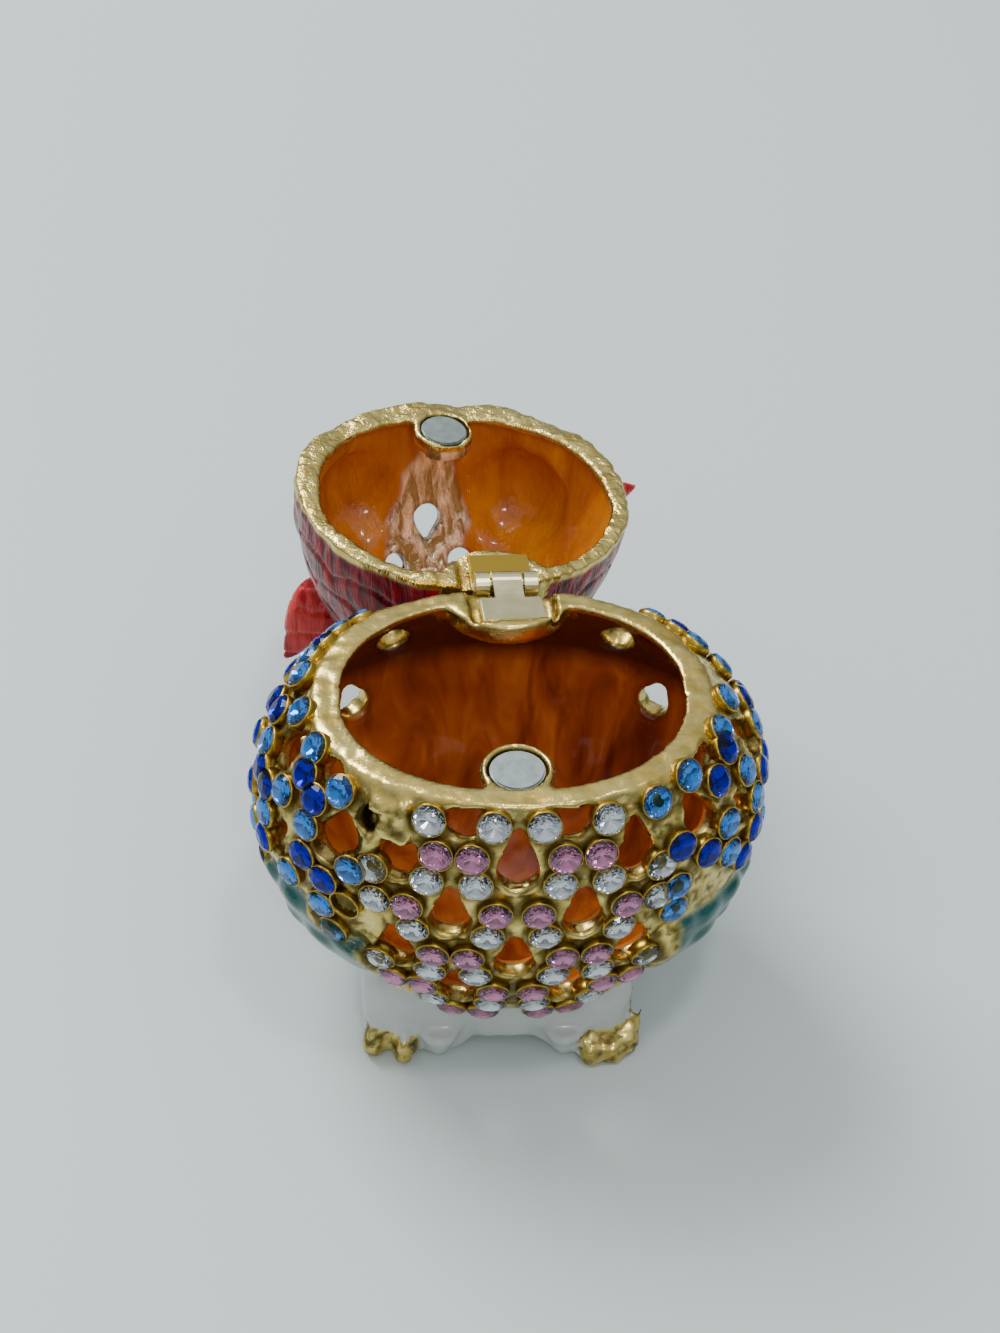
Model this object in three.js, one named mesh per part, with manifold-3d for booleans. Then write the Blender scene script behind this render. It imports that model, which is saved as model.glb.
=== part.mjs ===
// A hinged owl keepsake box, cast in metal, enamelled and set with stones, standing open.
// Millimetres, +Z up. The origin is the centre of the flat underside; the owl looks along -Y,
// and its head, which is the lid, is folded back behind it.
import * as THREE from 'three';
import { mergeVertices } from 'three/addons/utils/BufferGeometryUtils.js';
import Module from 'manifold-3d';

const wasm = await Module();
wasm.setup();

const DEG = Math.PI / 180;

// Driving dimensions. Wide, deep and high are half-sizes of a form about its middle.
const body = {
  wide: 23.8, deep: 17.8, high: 22.8, middle: 23.5, back: 0.3, wall: 1.9, fullFront: 0.6, lean: 1.2,
};
const rim = { top: 36.2, wide: 17.9, band: 1.3, shoulder: 29.2, squareness: 2.15 };
const head = { wide: 17.9, deep: 15.2, high: 24, wall: 1.8, bottom: 36.5 };
const eyes = { apart: 16.4, forward: 7.2, above: 8.8, radius: 8.2 };
const beak = { length: 7.5, radius: 2.6, above: 4.6, droop: 152 };
const ear = { length: 15.5, width: 7.6, thick: 4.4, base: [10, -4.2, 50.4], tip: [16.4, -4.6, 63.8] };
const cheek = { length: 6.5, width: 3.6, base: [14.4, -2, 42], tip: [18.8, -1, 42.8] };
const brow = { size: [7.6, 1.7, 1.5], apart: 14.8, forward: 10.6, above: 16.6, slope: 34, sweep: 22 };
const pearl = {
  leg: [6, 6.2, 8.2], legApart: 15, legForward: 7.6, legMiddle: 4, legSquareness: 4,
  belly: [8.4, 7, 7.4], bellyAt: [0, -7.2, 4.6], seat: [15, 13, 7.4], seatAt: [0, 1, 4],
  archRadius: 4.9, archHigh: 2.4, archLong: 8, archBack: -12,
};
const claws = {
  places: [[6.1, 15.4], [9.3, 15.8], [12.1, 14.9]], radius: 1.45, length: 5, ahead: 9, splay: 2.5,
};
const tail = { wide: 8, deep: 5.2, high: 13.5, back: 13, middle: 8.5, lean: 14 };
const scale = {
  across: 13.3, down: 15.6, top: 35.5, width: 3.7, height: 6.8, reachIn: 5,
  chainWide: 8, chainLow: 3.8, drawnIn: 5.2, skirtBelow: -25,
};
const stone = {
  radius: 1.32, table: 0.8, crown: 0.85, gap: 0.25,
  seatRadius: 1.4, seatProud: 0.6, seatRoot: 1.2, socketRoom: 0.3, socketDeep: 6,
};
const magnet = { radius: 2.5, thick: 1.6, forward: 10.2, bossRadius: 3.4, bossDeep: 4.6, gap: 0.25 };
const pin = {
  back: 16.85, below: 1.1, radius: 0.55, length: 6.6, open: 176.5, axis: [0.9926, 0.1046, -0.0623],
};
const leaf = { wide: 6.2, long: 5.6, thick: 0.6, rise: 0.1, lidRise: 0.95, clear: 1.7, lap: 0.4 };
const knuckle = { radius: 1.3, bore: 0.85, middle: 2.9, gap: 0.3 };
const recess = {
  wide: 8.6, front: 10.2, back: 16, bossWide: 10.8, bossDeep: 2.6, lidBossDeep: 3, gap: 0.3, clear: 4,
};
const wing = { proud: 0.9, startX: 9, from: 36, slant: 20, tipRise: [3.6, 3.4] };

function finish(color, roughness, metalness) {
  return new THREE.MeshStandardMaterial({ color, roughness, metalness });
}

const gold = finish('#a08f4a', 0.3, 1);
const nickel = finish('#7d8a88', 0.3, 1);
const hingeSteel = finish('#b9ad86', 0.3, 1);
const clearGlass = finish('#dfe6ea', 0.05, 0);
const pinkGlass = finish('#d79ab4', 0.05, 0);

// Solids: closed geometry becomes a body that can be joined and cut, and back again.
function solid(geometry) {
  const bare = geometry.clone();
  bare.deleteAttribute('normal');
  bare.deleteAttribute('uv');
  const merged = mergeVertices(bare, 1e-4);
  return new wasm.Manifold(new wasm.Mesh({
    numProp: 3,
    vertProperties: new Float32Array(merged.attributes.position.array),
    triVerts: new Uint32Array(merged.index.array),
  }));
}

function geometryOf(shape) {
  const mesh = shape.getMesh();
  const geometry = new THREE.BufferGeometry();
  geometry.setAttribute('position', new THREE.Float32BufferAttribute(mesh.vertProperties, 3));
  geometry.setIndex([...mesh.triVerts]);
  return geometry;
}

// Farther out than any part of the box, for blocks that trim it.
const beyond = 40;

const join = (parts) => parts.reduce((whole, part) => whole.add(part));
const cut = (whole, parts) => parts.reduce((rest, part) => rest.subtract(part), whole);

function box(low, high) {
  const size = high.map((value, i) => value - low[i]);
  const middle = high.map((value, i) => (value + low[i]) / 2);
  return solid(new THREE.BoxGeometry(...size).translate(...middle));
}

function ball(radii, centre, around = 12, rows = 7) {
  const geometry = new THREE.SphereGeometry(1, around, rows).rotateX(90 * DEG);
  return solid(geometry.scale(...radii).translate(...centre));
}

// A round or many-sided disc that stands on +Z between two heights.
function disc(radius, low, high, sides = 16, topRadius = radius) {
  const geometry = new THREE.CylinderGeometry(topRadius, radius, high - low, sides).rotateX(90 * DEG);
  return geometry.translate(0, 0, (high + low) / 2);
}

// A round bar along X.
function rod(radius, length, sides) {
  return solid(new THREE.CylinderGeometry(radius, radius, length, sides).rotateZ(90 * DEG));
}

const rounded = (value, power) => Math.sign(value) * Math.abs(value) ** (2 / power);

// A point of the body's outside. Around is degrees from the front toward +X, up is degrees above
// the widest level. The shoulder draws in to the rim above rim.shoulder.
function bodyPoint(around, up, proud = 0) {
  const reach = Math.cos(up * DEG);
  const sideReach = up < 0 ? reach ** body.lean : reach;
  const x = body.wide * sideReach * rounded(Math.sin(around * DEG), rim.squareness);
  const forward = rounded(Math.cos(around * DEG), rim.squareness);
  const lowFront = up < 0 && forward > 0;
  const y = -body.deep * forward * (lowFront ? reach ** body.fullFront : reach);
  const z = body.high * Math.sin(up * DEG);
  const normal = bodyNormal(around, up);
  const shoulder = (z + body.middle - rim.shoulder) / (rim.top - rim.shoulder);
  const drawIn = THREE.MathUtils.clamp(shoulder, 0, 1) ** 2;
  const level = Math.sqrt(1 - ((rim.top - body.middle) / body.high) ** 2);
  const narrow = 1 - (1 - rim.wide / (body.wide * level)) * drawIn;
  const point = new THREE.Vector3(x * narrow, y + body.back * (1 - drawIn), z + body.middle);
  return point.addScaledVector(normal, proud);
}

function bodyNormal(around, up) {
  const reach = Math.cos(up * DEG);
  return new THREE.Vector3(
    Math.sin(around * DEG) * reach / body.wide,
    -Math.cos(around * DEG) * reach / body.deep,
    Math.sin(up * DEG) / body.high,
  ).normalize();
}

function headPoint(around, up, proud = 0) {
  const reach = Math.cos(up * DEG);
  const point = new THREE.Vector3(
    head.wide * reach * rounded(Math.sin(around * DEG), rim.squareness),
    -head.deep * reach * rounded(Math.cos(around * DEG), rim.squareness),
    head.high * Math.sin(up * DEG) + head.bottom,
  );
  return point.addScaledVector(headNormal(around, up), proud);
}

function headNormal(around, up) {
  const reach = Math.cos(up * DEG);
  return new THREE.Vector3(
    Math.sin(around * DEG) * reach / head.wide,
    -Math.cos(around * DEG) * reach / head.deep,
    Math.sin(up * DEG) / head.high,
  ).normalize();
}

// A sphere whose every vertex is moved to the surface that pointAt describes.
function shell(pointAt, proud, around, rows) {
  const geometry = new THREE.SphereGeometry(1, around, rows).rotateX(90 * DEG);
  const places = geometry.attributes.position;
  for (let i = 0; i < places.count; i++) {
    const level = THREE.MathUtils.clamp(places.getZ(i), -1, 1);
    const turn = Math.atan2(places.getX(i), -places.getY(i)) / DEG;
    const point = pointAt(turn, Math.asin(level) / DEG, proud);
    places.setXYZ(i, point.x, point.y, point.z);
  }
  return solid(geometry);
}

// Stands a small shape, drawn on XY with +Z outward, on a surface; turn leans it in that surface.
function seatOn(geometry, point, normal, turn = 0) {
  const up = new THREE.Vector3(0, 0, 1).addScaledVector(normal, -normal.z).normalize();
  const across = new THREE.Vector3().crossVectors(up, normal);
  const frame = new THREE.Matrix4().makeBasis(across, up, normal).setPosition(point);
  return geometry.clone().rotateZ(turn * DEG).applyMatrix4(frame);
}

// A window with its point up and its round end below.
function teardrop() {
  const radius = scale.width / 2;
  const centre = radius - scale.height / 2;
  const lean = Math.acos(radius / (scale.height - radius));
  const outline = new THREE.Shape();
  outline.moveTo(0, scale.height / 2);
  outline.absarc(0, centre, radius, 90 * DEG - lean, 90 * DEG + lean, true);
  const depth = 2 * scale.reachIn;
  const geometry = new THREE.ExtrudeGeometry(outline, { depth, bevelEnabled: false, curveSegments: 3 });
  return geometry.translate(0, 0, -scale.reachIn);
}

// The breast: windows in staggered rows, each with a chain of four stones hung below it.
// A row is counted down from the rim and a column out from the middle.
function breastWindows() {
  const windows = [];
  for (let row = 0; row <= 4; row++) {
    for (let column = -2; column <= 2; column++) {
      if ((row + column) % 2 === 0) continue;
      windows.push({ around: column * scale.across, up: scale.top - row * scale.down });
    }
  }
  return windows;
}

// A chain is clear, pink, pink, clear. Where it meets a wing it is drawn in, and the upper one ends
// in a clear stone.
function breastStones() {
  const stones = [];
  for (const { around, up } of breastWindows()) {
    for (const side of [-1, 1]) {
      const atWing = side * around > scale.across * 1.5;
      const reach = atWing ? scale.drawnIn : scale.chainWide;
      stones.push({ kind: 'clear', around: around + side * reach, up: up - 0.47 * scale.down });
      const low = up - 1.02 * scale.down;
      const kind = atWing && up > 0 ? 'clear' : 'pink';
      stones.push({ kind, around: around + side * scale.chainLow / Math.cos(low * DEG), up: low });
    }
  }
  return stones;
}

// The wings: the same scales on a slanting lattice, one step out and one step up.
const wingStart = { around: 46, up: 16 };
const wingOut = { around: 20, up: -5 };
const wingUp = { around: 7, up: 17 };
const wingRows = [[0, 0, 2], [1, 0, 2], [2, 1, 2]];

function wingWindows() {
  const windows = [];
  for (const [climb, first, last] of wingRows) {
    for (let step = first; step <= last; step++) {
      const around = wingStart.around + step * wingOut.around + climb * wingUp.around;
      const up = wingStart.up + step * wingOut.up + climb * wingUp.up;
      windows.push({ around, up, first: step === first });
    }
  }
  return windows;
}

// A chain of two dark stones and a light one hangs below each wing window, and each row starts with
// one more light stone at the wing's front edge.
const chain = [[1.2, -11.3], [8.5, -9.5], [9.5, -2.5]];
const chainStart = [-7.5, -6];

function wingSeats() {
  const seats = [];
  for (const { around, up, first } of wingWindows()) {
    const offsets = first ? [chainStart, ...chain] : chain;
    for (const [out, climb] of offsets) seats.push({ around: around + out, up: up + climb });
  }
  return seats.filter(({ around, up }) => around < 126 && bodyPoint(around, up).z < rim.top - 1);
}

function onBothSides(places) {
  return places.flatMap((place) => [place, { ...place, around: -place.around, right: true }]);
}

const seatShape = disc(stone.seatRadius, -stone.seatRoot, stone.seatProud, 4);

function seatSolid({ around, up }) {
  return solid(seatOn(seatShape, bodyPoint(around, up, wingLift(around)), bodyNormal(around, up)));
}

// Room for the lowest breast stones, where the pearl skirt swells round them.
function stoneSocket({ around, up }) {
  const socket = disc(stone.radius + stone.socketRoom, 0, stone.socketDeep, 5);
  return solid(seatOn(socket, bodyPoint(around, up), bodyNormal(around, up)));
}

// How far the wing's raised ground lifts what is set on it.
function wingLift(around) {
  return Math.abs(around) > wing.from ? wing.proud : 0;
}

function bodyWindow({ around, up, right }) {
  const slant = Math.abs(around) > wing.from ? (right ? -wing.slant : wing.slant) : 0;
  const opening = seatOn(teardrop(), bodyPoint(around, up), bodyNormal(around, up), slant);
  return solid(opening);
}

// The wings stand proud of the body inside this side outline of y and z.
function wingOutline() {
  const outline = new THREE.Shape();
  outline.moveTo(-12.6, 36);
  outline.quadraticCurveTo(-15.6, 25, -13, 16);
  const tips = [[-10.5, 7.5], [-4.5, 4.6], [2.5, 5.2], [8.5, 9]];
  for (const [y, z] of tips) {
    outline.lineTo(y, z);
    outline.lineTo(y + wing.tipRise[0], z + wing.tipRise[1]);
  }
  outline.quadraticCurveTo(16, 22, 13.5, 36);
  outline.closePath();
  return outline;
}

function wings() {
  const raised = shell(bodyPoint, wing.proud, 22, 11);
  const reach = body.wide + 2;
  const depth = reach - wing.startX;
  const prism = new THREE.ExtrudeGeometry(wingOutline(), { depth, bevelEnabled: false, curveSegments: 4 });
  const right = new THREE.Matrix4().makeBasis(
    new THREE.Vector3(0, 1, 0), new THREE.Vector3(0, 0, 1), new THREE.Vector3(1, 0, 0),
  ).setPosition(wing.startX, 0, 0);
  const side = solid(prism.applyMatrix4(right));
  const other = solid(geometryOf(side).translate(-reach - wing.startX, 0, 0));
  return raised.intersect(side.add(other));
}

// A leg is a block with full round corners, drawn about its own middle.
function legPoint(around, up) {
  const flat = Math.cos(up * DEG);
  const [sideways, forward] = [Math.sin(around * DEG) * flat, -Math.cos(around * DEG) * flat];
  const way = new THREE.Vector3(sideways, forward, Math.sin(up * DEG));
  const power = pearl.legSquareness;
  const reach = [way.x, way.y, way.z].reduce((sum, part) => sum + Math.abs(part) ** power, 0) ** (-1 / power);
  return way.multiplyScalar(reach).multiply(new THREE.Vector3(...pearl.leg));
}

// Pearl legs with an arch between them, claws in front and the belly's seat behind.
function legs() {
  const parts = [ball(pearl.belly, pearl.bellyAt), ball(pearl.seat, pearl.seatAt)];
  for (const side of [-1, 1]) {
    const leg = geometryOf(shell(legPoint, 0, 14, 8));
    parts.push(solid(leg.translate(side * pearl.legApart / 2, -pearl.legForward, pearl.legMiddle)));
  }
  const arch = new THREE.CylinderGeometry(pearl.archRadius, pearl.archRadius, pearl.archLong, 16);
  arch.translate(0, pearl.archBack - pearl.archLong / 2, pearl.archHigh - pearl.archRadius);
  return join(parts).subtract(solid(arch));
}

function clawSolids() {
  const parts = [];
  for (const side of [-1, 1]) {
    for (const [out, forward] of claws.places) {
      const claw = ball([claws.radius, claws.length / 2, claws.radius * 1.25], [0, 0, 0], 6, 4);
      const turned = geometryOf(claw).rotateZ(side * (out - claws.ahead) * claws.splay * DEG);
      parts.push(solid(turned.translate(side * out, claws.length / 2 - forward, claws.radius * 0.9)));
    }
  }
  return parts;
}

function tailSolid() {
  const fan = new THREE.SphereGeometry(1, 12, 8).rotateX(90 * DEG);
  fan.scale(tail.wide, tail.deep, tail.high).rotateX(tail.lean * DEG);
  return solid(fan.translate(0, tail.back, tail.middle));
}

// The pin's place, and the frame that leans its axis a little out of true.
const pinPlace = new THREE.Vector3(0, pin.back, rim.top - pin.below);
const pinAxis = new THREE.Vector3(...pin.axis).normalize();
const pinTurn = new THREE.Quaternion().setFromUnitVectors(new THREE.Vector3(1, 0, 0), pinAxis);
const pinFrame = new THREE.Matrix4().compose(pinPlace, pinTurn, new THREE.Vector3(1, 1, 1));

// The room of a hinge leaf and its knuckles, cut from a casting between two heights about the pin.
function hingeRoom(leafLow, leafHigh, barrelLow, barrelHigh) {
  const half = recess.wide / 2;
  const room = join([
    box([-half, -leaf.long - recess.gap, leafLow], [half, 2 * recess.clear, leafHigh]),
    box([-half, -leaf.clear - recess.gap, barrelLow], [half, 2 * recess.clear, barrelHigh]),
  ]);
  return solid(geometryOf(room).applyMatrix4(pinFrame));
}

// Magnet pockets, each with the metal that holds it.
function magnetBoss(low, high) {
  return solid(disc(magnet.bossRadius, low, high, 14).translate(0, -magnet.forward, 0));
}

function magnetPocket(low, high) {
  return solid(disc(magnet.radius + magnet.gap, low, high, 16).translate(0, -magnet.forward, 0));
}

// Metal left thick round the hinge recess.
function recessBoss(low, high) {
  const half = recess.bossWide / 2;
  return box([-half, recess.front, low], [half, recess.back, high]);
}

const slab = (low, high) => box([-beyond, -beyond, low], [beyond, beyond, high]);

function bodyCasting() {
  const outside = shell(bodyPoint, 0, 22, 11).add(wings());
  const inside = shell(bodyPoint, -body.wall, 16, 8);
  const keep = outside.intersect(slab(0, rim.top));
  const bosses = join([
    magnetBoss(rim.top - magnet.bossDeep, rim.top),
    recessBoss(rim.top - recess.bossDeep, rim.top),
  ]).intersect(keep);
  const seats = onBothSides(wingSeats()).map(seatSolid);
  const windows = [...breastWindows(), ...onBothSides(wingWindows())].map(bodyWindow);
  const ground = [...clawSolids(), legs(), tailSolid(), ...seats];
  const sockets = breastStones().filter(({ up }) => up < scale.skirtBelow).map(stoneSocket);
  const below = slab(-beyond, 0);
  const above = slab(rim.top, rim.top + beyond);
  const hollow = cut(join([keep, ...ground]), [below, above, inside, ...windows, ...sockets]);
  const band = cut(keep.intersect(slab(rim.top - rim.band, rim.top)), [inside]);
  return cut(join([hollow, band, bosses]), [
    magnetPocket(rim.top - magnet.thick - 2 * magnet.gap, rim.top + 1),
    hingeRoom(leaf.rise - recess.gap, recess.clear, -knuckle.radius - recess.gap, recess.clear),
  ]);
}

// Leaf-shaped tufts for the ears and the cheeks, from base to tip.
function tuft({ length, width, thick = width * 0.7, base, tip }, side) {
  const profile = [[0, 0], [0.36, 0.12], [0.5, 0.4], [0.34, 0.72], [0, 1]];
  const points = profile.map(([out, along]) => new THREE.Vector2(out * width, along * length));
  const leafShape = new THREE.LatheGeometry(points, 8).scale(1, 1, thick / width);
  const from = new THREE.Vector3(side * base[0], base[1], base[2]);
  const way = new THREE.Vector3(side * tip[0], tip[1], tip[2]).sub(from).normalize();
  const turn = new THREE.Quaternion().setFromUnitVectors(new THREE.Vector3(0, 1, 0), way);
  const start = new THREE.Vector3(side * tip[0], tip[1], tip[2]).addScaledVector(way, -length);
  return solid(leafShape.applyQuaternion(turn).translate(start.x, start.y, start.z));
}

function headMass(proud, around, rows, domeSides) {
  const mass = [shell(headPoint, proud, around, rows)];
  for (const side of [-1, 1]) {
    const centre = [side * eyes.apart / 2, -eyes.forward, head.bottom + eyes.above];
    const radius = eyes.radius + proud;
    mass.push(ball([radius, radius, radius], centre, domeSides, domeSides / 2));
  }
  return join(mass);
}

function beakSolid() {
  const cone = new THREE.ConeGeometry(beak.radius, beak.length, 6).rotateX(-beak.droop * DEG);
  return solid(cone.translate(0, -head.deep - 0.2, head.bottom + beak.above + beak.length / 2));
}

function browSolid(side) {
  const bar = ball(brow.size, [0, 0, 0], 14, 8);
  const turned = geometryOf(bar).rotateY(-side * brow.slope * DEG).rotateZ(side * brow.sweep * DEG);
  return solid(turned.translate(side * brow.apart / 2, -brow.forward, head.bottom + brow.above));
}

const foreheadWindows = [{ around: 0, up: 38 }, { around: 20, up: 52 }, { around: -20, up: 52 }];
const foreheadSeats = [
  { around: 13, up: 40 }, { around: -13, up: 40 }, { around: 0, up: 55 },
  { around: 9, up: 29 }, { around: -9, up: 29 }, { around: 0, up: 67 },
];

function lidCasting() {
  const mass = headMass(0, 22, 12, 14);
  const inside = headMass(-head.wall, 16, 9, 10);
  const extras = [beakSolid()];
  for (const side of [-1, 1]) extras.push(tuft(ear, side), tuft(cheek, side), browSolid(side));
  for (const { around, up } of foreheadSeats) {
    extras.push(solid(seatOn(seatShape, headPoint(around, up), headNormal(around, up))));
  }
  const windows = foreheadWindows.map(({ around, up }) => (
    solid(seatOn(teardrop(), headPoint(around, up), headNormal(around, up)))
  ));
  const below = slab(0, head.bottom);
  const hollow = cut(join([mass, ...extras]), [below, inside, ...windows]);
  const bosses = join([
    magnetBoss(head.bottom, head.bottom + magnet.bossDeep),
    recessBoss(head.bottom, head.bottom + recess.lidBossDeep),
  ]).intersect(cut(mass, [below]));
  const roof = leaf.lidRise + leaf.thick + recess.gap;
  return cut(hollow.add(bosses), [
    magnetPocket(head.bottom - 1, head.bottom + magnet.thick + 2 * magnet.gap),
    hingeRoom(-recess.clear, roof, -recess.clear, roof),
  ]);
}

// The hinge, drawn about its pin along X with the leaves reaching forward to -Y.
function bodyLeaf() {
  const high = leaf.rise + leaf.thick;
  const plate = box([-leaf.wide / 2, -leaf.long, leaf.rise], [leaf.wide / 2, -leaf.clear, high]);
  const half = knuckle.middle / 2;
  const neck = box([-half, -leaf.clear - leaf.lap, leaf.rise], [half, 0, high]);
  const barrel = rod(knuckle.radius, knuckle.middle, 12);
  return cut(join([plate, neck, barrel]), [rod(knuckle.bore, 2 * leaf.wide, 8)]);
}

function lidLeaf() {
  const high = leaf.lidRise + leaf.thick;
  const parts = [box([-leaf.wide / 2, -leaf.long, leaf.lidRise], [leaf.wide / 2, -leaf.clear, high])];
  const inner = knuckle.middle / 2 + knuckle.gap;
  const width = leaf.wide / 2 - inner;
  for (const side of [-1, 1]) {
    const edges = [side * inner, side * leaf.wide / 2].sort((a, b) => a - b);
    parts.push(box([edges[0], -leaf.clear - leaf.lap, leaf.lidRise], [edges[1], 0, high]));
    const barrel = geometryOf(rod(knuckle.radius, width, 12));
    parts.push(solid(barrel.translate(side * (inner + width / 2), 0, 0)));
  }
  return cut(join(parts), [rod(knuckle.bore, 2 * leaf.wide, 8)]);
}

function named(name, geometry, material) {
  const mesh = new THREE.Mesh(geometry, material);
  mesh.name = name;
  return mesh;
}

function magnetDisc(low, high) {
  return disc(magnet.radius, low, high, 16).translate(0, -magnet.forward, 0);
}

// One cut stone: a five-sided crown with a flat table, just clear of the wall behind it.
function crystal({ kind, around, up }, index) {
  const low = stone.gap;
  const crown = disc(stone.radius, low, low + stone.crown, 5, stone.table);
  const seated = seatOn(crown, bodyPoint(around, up), bodyNormal(around, up));
  const material = kind === 'clear' ? clearGlass : pinkGlass;
  return named(`${kind}_stone_${String(index + 1).padStart(2, '0')}`, seated, material);
}

function onPin(...meshes) {
  const group = new THREE.Group();
  group.position.copy(pinPlace);
  group.quaternion.copy(pinTurn);
  group.add(...meshes);
  return group;
}

const owl = new THREE.Group();

const standing = new THREE.Group();
standing.add(
  named('body_casting', geometryOf(bodyCasting()), gold),
  named('body_magnet', magnetDisc(rim.top - magnet.thick - magnet.gap, rim.top - magnet.gap), nickel),
  ...breastStones().map(crystal),
  onPin(
    named('body_hinge_leaf', geometryOf(bodyLeaf()), hingeSteel),
    named('hinge_pin', geometryOf(rod(pin.radius, pin.length, 12)), hingeSteel),
  ),
);

// The head is built closed, in line with the body, and swung open about the pin.
const lid = new THREE.Group();
lid.add(
  named('lid_casting', geometryOf(lidCasting()), gold),
  named('lid_magnet', magnetDisc(head.bottom + magnet.gap, head.bottom + magnet.gap + magnet.thick), nickel),
  onPin(named('lid_hinge_leaf', geometryOf(lidLeaf()), hingeSteel)),
);
const swing = new THREE.Quaternion().setFromAxisAngle(pinAxis, -pin.open * DEG);
lid.quaternion.copy(swing);
lid.position.copy(pinPlace).sub(pinPlace.clone().applyQuaternion(swing));

owl.add(standing, lid);

export default owl;
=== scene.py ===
import math
import random

import bmesh
import bpy
from mathutils import Matrix, Vector, kdtree, noise


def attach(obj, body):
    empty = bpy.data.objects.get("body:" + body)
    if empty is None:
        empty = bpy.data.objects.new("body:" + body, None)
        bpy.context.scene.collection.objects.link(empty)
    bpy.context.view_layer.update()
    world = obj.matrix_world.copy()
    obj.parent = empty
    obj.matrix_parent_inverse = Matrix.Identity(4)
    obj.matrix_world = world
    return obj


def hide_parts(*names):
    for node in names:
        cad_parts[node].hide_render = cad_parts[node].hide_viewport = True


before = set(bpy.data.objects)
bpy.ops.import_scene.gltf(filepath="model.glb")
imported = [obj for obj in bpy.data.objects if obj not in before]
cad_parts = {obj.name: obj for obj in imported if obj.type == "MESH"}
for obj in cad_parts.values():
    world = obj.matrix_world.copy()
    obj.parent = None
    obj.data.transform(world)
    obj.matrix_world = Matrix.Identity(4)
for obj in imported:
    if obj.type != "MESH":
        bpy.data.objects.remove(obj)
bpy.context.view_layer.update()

# The camera stands in front of the box, a little to the left of its middle, and looks down into the
# open bowl. Its place and lens were fitted to the outlines of rim, lid and feet.
camera_turn, camera_height, camera_roll = (math.radians(angle) for angle in (-3.356, 41.442, 1.9))
camera_away, camera_aside, camera_above = 194.56, -1.255, 23.097
aim_height = 8.2
back = Vector((
    math.sin(camera_turn) * math.cos(camera_height),
    -math.cos(camera_turn) * math.cos(camera_height),
    math.sin(camera_height),
))
level = Vector((math.cos(camera_turn), math.sin(camera_turn), 0))
upright = back.cross(level)
camera_place = back * camera_away + level * camera_aside + upright * camera_above
camera_place.z += aim_height
rolled = Matrix.Rotation(camera_roll, 4, back)
camera_axes = Matrix((rolled @ level, rolled @ upright, back)).transposed().to_4x4()
camera = bpy.data.objects.new("camera", bpy.data.cameras.new("camera"))
camera.matrix_world = Matrix.Translation(camera_place / 1000) @ camera_axes
camera.data.sensor_width = 36
camera.data.lens = 51.45
camera.data.clip_start = 0.01
bpy.context.scene.collection.objects.link(camera)
bpy.context.scene.camera = camera

# The body is one gilt casting: a bowl with its rim, the openwork breast and wings, the legs, the claws
# and the tail. It is drawn in millimetres; each form is closed, and then all are fused into one skin.
# Places on it are degrees round from the middle of the breast and up from its widest level.
body_wide, body_deep, body_high, body_middle, body_wall = 23.8, 17.8, 22.8, 23.5, 1.9
rim_top, rim_wide, rim_shoulder = 36.2, 17.9, 29.2
squareness = 2.15


def rounded(value):
    return math.copysign(abs(value) ** (2 / squareness), value)


def outward(around, up, wide, deep, high):
    a, u = math.radians(around), math.radians(up)
    level_part = math.cos(u)
    normal = Vector((math.sin(a) * level_part / wide, -math.cos(a) * level_part / deep, math.sin(u) / high))
    return normal.normalized()


def body_normal(around, up):
    return outward(around, up, body_wide, body_deep, body_high)


def body_point(around, up, proud=0.0):
    a, u = math.radians(around), math.radians(up)
    reach = max(math.cos(u), 0)
    forward = rounded(math.cos(a))
    x = body_wide * (reach ** 1.2 if up < 0 else reach) * rounded(math.sin(a))
    y = -body_deep * forward * (reach ** 0.6 if up < 0 and forward > 0 else reach)
    z = body_high * math.sin(u) + body_middle
    drawn = min(max((z - rim_shoulder) / (rim_top - rim_shoulder), 0), 1) ** 2
    full = math.sqrt(1 - ((rim_top - body_middle) / body_high) ** 2)
    x *= 1 - (1 - rim_wide / (body_wide * full)) * drawn
    return Vector((x, y + 0.3 * (1 - drawn), z)) + body_normal(around, up) * proud


def facing(around, up):
    """The outward direction of the finished surface, drawn in to the rim as it is."""
    aside = body_point(around + 0.5, up) - body_point(around - 0.5, up)
    climb = body_point(around, up + 0.5) - body_point(around, up - 0.5)
    return aside.cross(climb).normalized()


def shaped_ball(point_at, proud, around=72, rows=40):
    bm = bmesh.new()
    bmesh.ops.create_uvsphere(bm, u_segments=around, v_segments=rows, radius=1)
    for v in bm.verts:
        turn = math.degrees(math.atan2(v.co.x, -v.co.y))
        climb = math.degrees(math.asin(min(max(v.co.z, -1), 1)))
        v.co = point_at(turn, climb, proud)
    return bm


def ball(size, place, turn=Matrix(), around=24, rows=16):
    bm = bmesh.new()
    matrix = Matrix.Translation(place) @ turn.to_4x4() @ Matrix.Diagonal((*size, 1))
    bmesh.ops.create_uvsphere(bm, u_segments=around, v_segments=rows, radius=1, matrix=matrix)
    return bm


def moved(bm, matrix):
    bmesh.ops.transform(bm, matrix=matrix, verts=bm.verts)
    return bm


def prism(outline, way):
    """A flat outline drawn out along a way."""
    bm = bmesh.new()
    face = bm.faces.new([bm.verts.new(point) for point in outline])
    grown = bmesh.ops.extrude_face_region(bm, geom=[face])
    far = [v for v in grown["geom"] if isinstance(v, bmesh.types.BMVert)]
    bmesh.ops.translate(bm, verts=far, vec=way)
    bmesh.ops.recalc_face_normals(bm, faces=bm.faces)
    return bm


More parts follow.
